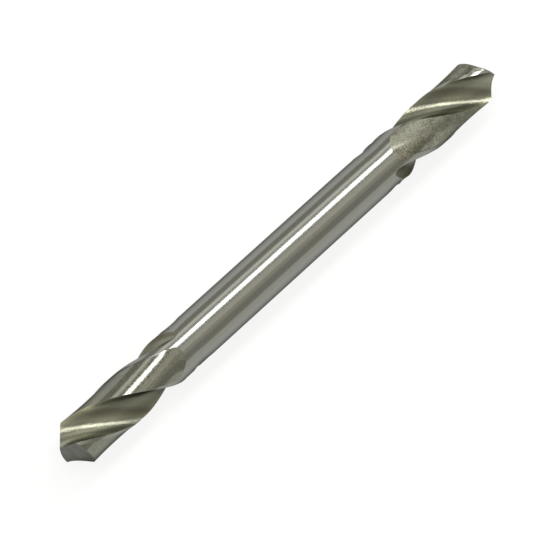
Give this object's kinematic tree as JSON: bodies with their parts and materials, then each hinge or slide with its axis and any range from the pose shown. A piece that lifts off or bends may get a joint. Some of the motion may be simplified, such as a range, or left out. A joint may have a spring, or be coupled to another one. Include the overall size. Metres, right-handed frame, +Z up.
{
  "type": "double-ended drill bit",
  "caption": "Short steel twist drill bit with a right-hand fluted cutting end and point at each end of a plain round shank.",
  "frame": {"origin": "on the axis, in the middle of the plain shank and of the overall length", "axes": "+X along the bit's axis, +Z up with the bit lying level"},
  "size_m": [0.062, 0.0052, 0.0052],
  "materials": {
    "ground_steel": "ground high-speed steel, bright shank, rougher grey flutes and relieved lands"
  },
  "bodies": {
    "root": {"drill_bit": "ground_steel"}
  },
  "joints": []
}
